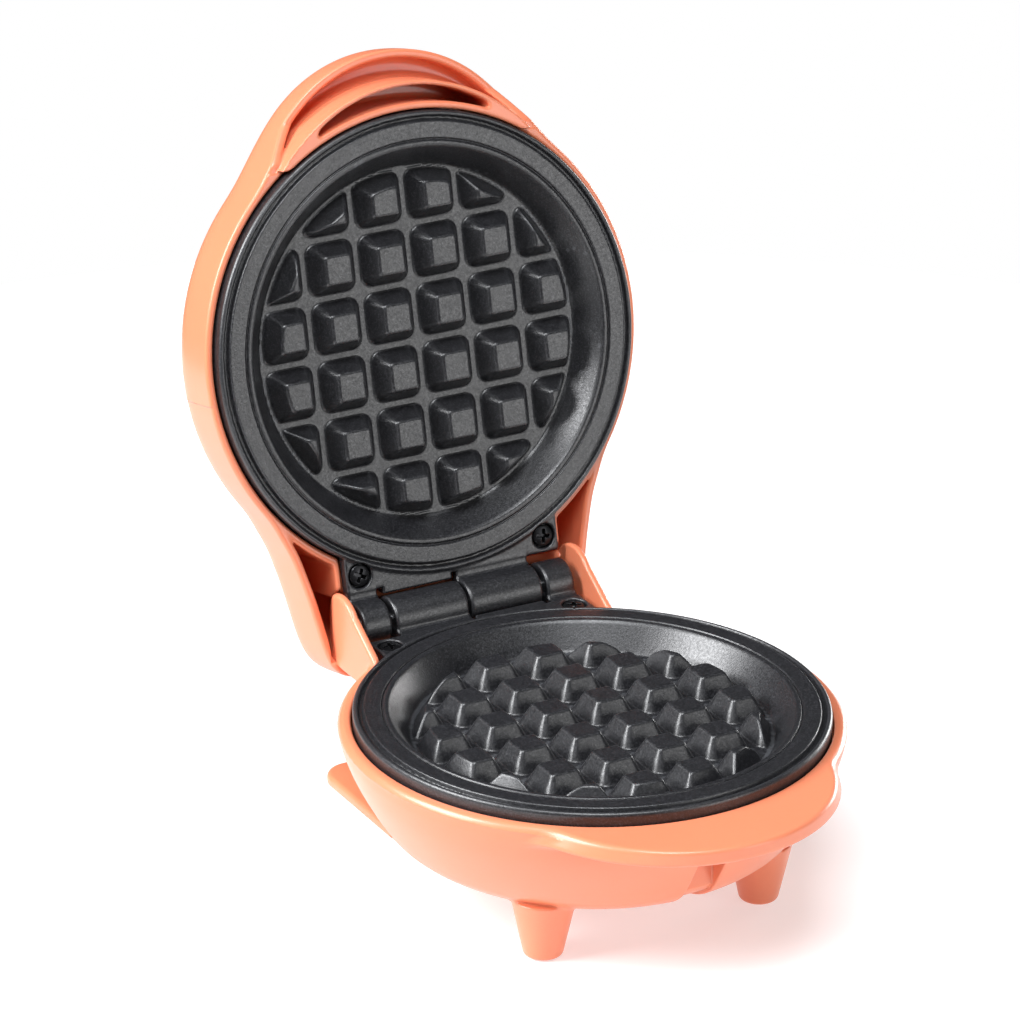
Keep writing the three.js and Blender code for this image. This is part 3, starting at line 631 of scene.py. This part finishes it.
# ---- materials ----
def new_material(name):
    material = bpy.data.materials.new(name)
    material.use_nodes = True
    tree = material.node_tree
    return material, tree.nodes, tree.links, tree.nodes["Principled BSDF"]


def noise(nodes, links, where, scale, detail=3.0, roughness=0.5):
    """Noise between 0 and 1, scale features to the metre."""
    node = nodes.new("ShaderNodeTexNoise")
    node.inputs["Scale"].default_value = scale
    node.inputs["Detail"].default_value = detail
    node.inputs["Roughness"].default_value = roughness
    links.new(where, node.inputs["Vector"])
    return node.outputs["Fac"]


def ramp(nodes, links, value, stops):
    """A colour for the value, from [(place, colour)]."""
    node = nodes.new("ShaderNodeValToRGB")
    while len(node.color_ramp.elements) < len(stops):
        node.color_ramp.elements.new(0.5)
    for element, (place, color) in zip(node.color_ramp.elements, stops):
        element.position = place
        element.color = (*color, 1)
    links.new(value, node.inputs["Fac"])
    return node.outputs["Color"]


def mapped(nodes, links, value, low, high, to_low, to_high):
    """The value stretched from one range to another."""
    node = nodes.new("ShaderNodeMapRange")
    for name, number in (("From Min", low), ("From Max", high), ("To Min", to_low), ("To Max", to_high)):
        node.inputs[name].default_value = number
    links.new(value, node.inputs["Value"])
    return node.outputs["Result"]


def mixed(nodes, links, factor, first, second):
    """Two colours mixed, each a socket or a plain colour."""
    node = nodes.new("ShaderNodeMix")
    node.data_type = "RGBA"
    links.new(factor, node.inputs["Factor"])
    for socket, value in (("A", first), ("B", second)):
        target = [s for s in node.inputs if s.name == socket and s.type == "RGBA"][0]
        if isinstance(value, tuple):
            target.default_value = (*value, 1)
        else:
            links.new(value, target)
    return [s for s in node.outputs if s.type == "RGBA"][0]


def bump(nodes, links, height, strength, distance, below=None):
    """A fine relief, over another one if below is given."""
    node = nodes.new("ShaderNodeBump")
    node.inputs["Strength"].default_value = strength
    node.inputs["Distance"].default_value = distance
    links.new(height, node.inputs["Height"])
    if below is not None:
        links.new(below, node.inputs["Normal"])
    return node.outputs["Normal"]


def edge_wear_and_highlight(nodes, links, low, high):
    """1 on outer edges, 0 on faces, from the mesh's pointiness: edge wear on the metals, a painted edge
    highlight on the non-stick coating.
    """
    geometry = nodes.new("ShaderNodeNewGeometry")
    return mapped(nodes, links, geometry.outputs["Pointiness"], low, high, 0, 1)


def coral_plastic():
    """Glossy moulded coral plastic with a very fine orange-peel and a trace of handling haze."""
    material, nodes, links, shader = new_material("coral_plastic")
    where = nodes.new("ShaderNodeTexCoord").outputs["Object"]
    cloud = noise(nodes, links, where, 22, 4)
    color = ramp(nodes, links, cloud, [(0.3, (0.80, 0.232, 0.118)), (0.7, (0.81, 0.238, 0.122))])
    fine = noise(nodes, links, where, 2600, 2)
    specks = mapped(nodes, links, fine, 0.3, 0.7, 0.0, 0.06)
    color = mixed(nodes, links, specks, color, (0.92, 0.40, 0.20))
    links.new(color, shader.inputs["Base Color"])
    haze = noise(nodes, links, where, 45, 2, 0.4)
    links.new(mapped(nodes, links, haze, 0.3, 0.7, 0.33, 0.37), shader.inputs["Roughness"])
    peel = noise(nodes, links, where, 420, 2)
    grain = noise(nodes, links, where, 3800, 1)
    first = bump(nodes, links, peel, 0.25, 0.00006)
    links.new(bump(nodes, links, grain, 0.2, 0.00002, first), shader.inputs["Normal"])
    shader.inputs["Subsurface Weight"].default_value = 0.05
    shader.inputs["Subsurface Radius"].default_value = (1.0, 0.35, 0.15)
    shader.inputs["Subsurface Scale"].default_value = 0.002
    shader.inputs["Coat Weight"].default_value = 0.25
    shader.inputs["Coat Roughness"].default_value = 0.18
    shader.inputs["IOR"].default_value = 1.5
    return material


def nonstick_coating():
    """Satin black fluoropolymer coating sprayed on a casting: fine speckle, and a painted edge highlight
    that makes its convex edges lighter.
    """
    material, nodes, links, shader = new_material("nonstick_coating")
    where = nodes.new("ShaderNodeTexCoord").outputs["Object"]
    cloud = noise(nodes, links, where, 35, 4)
    color = ramp(nodes, links, cloud, [(0.3, (0.005, 0.0052, 0.0066)), (0.7, (0.007, 0.0073, 0.0088))])
    speck = noise(nodes, links, where, 2300, 3, 0.7)
    color = mixed(nodes, links, mapped(nodes, links, speck, 0.48, 0.72, 0, 0.5), color, (0.09, 0.09, 0.10))
    # painted highlight: convex edges mixed towards a lighter grey, standing in for the light they catch
    edge_mask = edge_wear_and_highlight(nodes, links, 0.53, 0.62)
    color = mixed(nodes, links, mapped(nodes, links, edge_mask, 0, 1, 0, 0.35), color, (0.12, 0.125, 0.135))
    links.new(color, shader.inputs["Base Color"])
    rough = noise(nodes, links, where, 1500, 3, 0.6)
    links.new(mapped(nodes, links, rough, 0.3, 0.7, 0.3, 0.46), shader.inputs["Roughness"])
    grain = noise(nodes, links, where, 1900, 3, 0.65)
    ripple = noise(nodes, links, where, 180, 3)
    first = bump(nodes, links, ripple, 0.3, 0.00015)
    links.new(bump(nodes, links, grain, 0.75, 0.00006, first), shader.inputs["Normal"])
    shader.inputs["IOR"].default_value = 1.5
    shader.inputs["Specular IOR Level"].default_value = 0.85
    return material


def metal(name, low, high, rough, metallic, grain_scale,
          grain_stretch=(1, 1, 1), wear=(0.6, 0.6, 0.6)):
    """A metal with a drawn or turned grain, mottled a little, and brighter on its edges."""
    material, nodes, links, shader = new_material(name)
    where = nodes.new("ShaderNodeTexCoord").outputs["Object"]
    stretch = nodes.new("ShaderNodeMapping")
    stretch.inputs["Scale"].default_value = grain_stretch
    links.new(where, stretch.inputs["Vector"])
    cloud = noise(nodes, links, where, 90, 4)
    color = ramp(nodes, links, cloud, [(0.3, low), (0.7, high)])
    edge_mask = edge_wear_and_highlight(nodes, links, 0.54, 0.66)
    color = mixed(nodes, links, mapped(nodes, links, edge_mask, 0, 1, 0, 0.5), color, wear)
    links.new(color, shader.inputs["Base Color"])
    grain = noise(nodes, links, stretch.outputs["Vector"], grain_scale, 3)
    links.new(mapped(nodes, links, grain, 0.3, 0.7, rough - 0.08, rough + 0.1), shader.inputs["Roughness"])
    links.new(bump(nodes, links, grain, 0.35, 0.00004), shader.inputs["Normal"])
    shader.inputs["Metallic"].default_value = metallic
    return material


def soft_plastic(name, low, high, rough, grain_scale=2200):
    """A matt plastic or rubber with a fine moulded grain."""
    material, nodes, links, shader = new_material(name)
    where = nodes.new("ShaderNodeTexCoord").outputs["Object"]
    cloud = noise(nodes, links, where, 70, 4)
    links.new(ramp(nodes, links, cloud, [(0.3, low), (0.7, high)]), shader.inputs["Base Color"])
    grain = noise(nodes, links, where, grain_scale, 3)
    links.new(mapped(nodes, links, grain, 0.3, 0.7, rough - 0.08, rough + 0.08), shader.inputs["Roughness"])
    links.new(bump(nodes, links, grain, 0.4, 0.00005), shader.inputs["Normal"])
    return material


# ---- studio ----
def add_floor():
    """A small pale disc that glows a little, so its edge is lost in the white behind it."""
    mesh = bpy.data.meshes.new("floor")
    turns = [math.tau * i / FLOOR_SIDES for i in range(FLOOR_SIDES)]
    ring = [(FLOOR_R * math.cos(turn), FLOOR_R * math.sin(turn), 0) for turn in turns]
    mesh.from_pydata(ring, [], [tuple(range(FLOOR_SIDES))])
    floor = bpy.data.objects.new("floor", mesh)
    bpy.context.scene.collection.objects.link(floor)
    floor.location.z = -0.0002  # just under the feet
    material, nodes, links, shader = new_material("pale_floor")
    where = nodes.new("ShaderNodeTexCoord").outputs["Object"]
    tint = noise(nodes, links, where, 3, 3)
    links.new(ramp(nodes, links, tint, [(0.3, (0.60, 0.60, 0.60)), (0.7, (0.62, 0.62, 0.62))]),
              shader.inputs["Base Color"])
    shader.inputs["Roughness"].default_value = 0.9
    shader.inputs["Specular IOR Level"].default_value = 0.1
    shader.inputs["Emission Color"].default_value = (1, 1, 1, 1)
    shader.inputs["Emission Strength"].default_value = 0.5
    mesh.materials.append(material)


def add_light(name, place, target, size, power, color=(1, 1, 1)):
    """A soft box at place, turned to the target."""
    data = bpy.data.lights.new(name, "AREA")
    data.shape = "RECTANGLE"
    data.size, data.size_y = size
    data.energy = power
    data.color = color
    light = bpy.data.objects.new(name, data)
    light.location = place
    light.rotation_euler = (Vector(target) - Vector(place)).to_track_quat("-Z", "Y").to_euler()
    bpy.context.scene.collection.objects.link(light)


def add_studio():
    """Four soft boxes and a dim room, white only where the camera sees it directly."""
    middle = (0, 0, 0.09)
    add_light("key_left", (-1.3, 0.3, 1.0), middle, (0.9, 0.9), 48, (0.97, 0.98, 1.0))
    add_light("front_right", (0.85, -1.55, 0.35), middle, (0.6, 0.9), 8)
    add_light("top", (-0.3, -0.6, 1.6), middle, (0.7, 0.7), 25, (0.95, 0.97, 1.0))
    add_light("right_rim", (1.5, 0.55, 0.1), middle, (0.7, 0.5), 15)
    world = bpy.data.worlds.new("studio")
    bpy.context.scene.world = world
    world.use_nodes = True
    nodes, links = world.node_tree.nodes, world.node_tree.links
    background = nodes["Background"]
    background.inputs["Color"].default_value = (1, 1, 1, 1)
    background.inputs["Strength"].default_value = 0.06
    backdrop = nodes.new("ShaderNodeBackground")
    backdrop.inputs["Color"].default_value = (1, 1, 1, 1)
    backdrop.inputs["Strength"].default_value = 1.0
    path = nodes.new("ShaderNodeLightPath")
    both = nodes.new("ShaderNodeMixShader")
    links.new(path.outputs["Is Camera Ray"], both.inputs["Fac"])
    links.new(background.outputs["Background"], both.inputs[1])
    links.new(backdrop.outputs["Background"], both.inputs[2])
    links.new(both.outputs["Shader"], nodes["World Output"].inputs["Surface"])
    bpy.context.scene.view_settings.view_transform = "Standard"


# ---- the pieces ----
add_camera()
coral = coral_plastic()
coating = nonstick_coating()
black_steel = metal("black_oxide_screw", (0.018, 0.018, 0.02), (0.035, 0.035, 0.038), 0.34, 0.85, 900,
                    wear=(0.2, 0.2, 0.21))
steel = metal("bare_steel", (0.50, 0.50, 0.52), (0.60, 0.60, 0.62), 0.3, 1.0, 700, (1, 6, 6))
sheath = metal("heater_sheath", (0.16, 0.15, 0.14), (0.26, 0.25, 0.24), 0.45, 0.8, 500)
pale = soft_plastic("pale_plastic", (0.66, 0.62, 0.54), (0.74, 0.71, 0.64), 0.5)
rubber = soft_plastic("black_rubber", (0.012, 0.012, 0.013), (0.022, 0.022, 0.024), 0.62)

base_mesh = mesh_of("base_shell", base_field, (-63, -78, -47.2), (63, 80.4, 9.5), GRID_STEP, TO_ROW)
piece("base_shell", base_mesh, coral, "base", "coral_plastic", "base_housing")
lid_place = TO_ROW @ OPENED
lid_mesh = mesh_of("lid_shell", lid_field, (-63, -76, 0.6), (63, 83, 29.8), GRID_STEP, lid_place)
piece("lid_shell", lid_mesh, coral, "lid", "coral_plastic", "lid_housing")
plate_mesh = mesh_of("lower_plate", plate_field, (-60, -60, -15.5), (60, 74.2, 6.2), GRID_STEP, TO_ROW)
piece("lower_plate", plate_mesh, coating, "base", "nonstick_plate", "base_plate")
lid_plate_mesh = plate_mesh.copy()
lid_plate_mesh.transform(lid_place @ TURNED_OVER @ TO_ROW.inverted())
piece("upper_plate", lid_plate_mesh, coating, "lid", "nonstick_plate", "lid_plate")
add_screws(black_steel)

CARRIED = {
    "bottom_cover": coral, "cord_bushing": rubber, "terminal_block": pale, "hinge_pin": steel,
    "cover_screw_rear": steel, "cover_screw_left": steel, "cover_screw_right": steel,
    "base_heater": sheath, "base_heat_shield": steel, "base_shield_screw": steel,
    "base_thermostat": pale, "base_thermal_fuse": steel, "lid_heater": sheath,
    "lid_heat_shield": steel, "lid_shield_screw": steel, "lid_thermal_fuse": steel,
}
for node_name, material in CARRIED.items():
    node = frame["nodes"][node_name]
    node.data.materials.clear()
    node.data.materials.append(material)

add_floor()
add_studio()
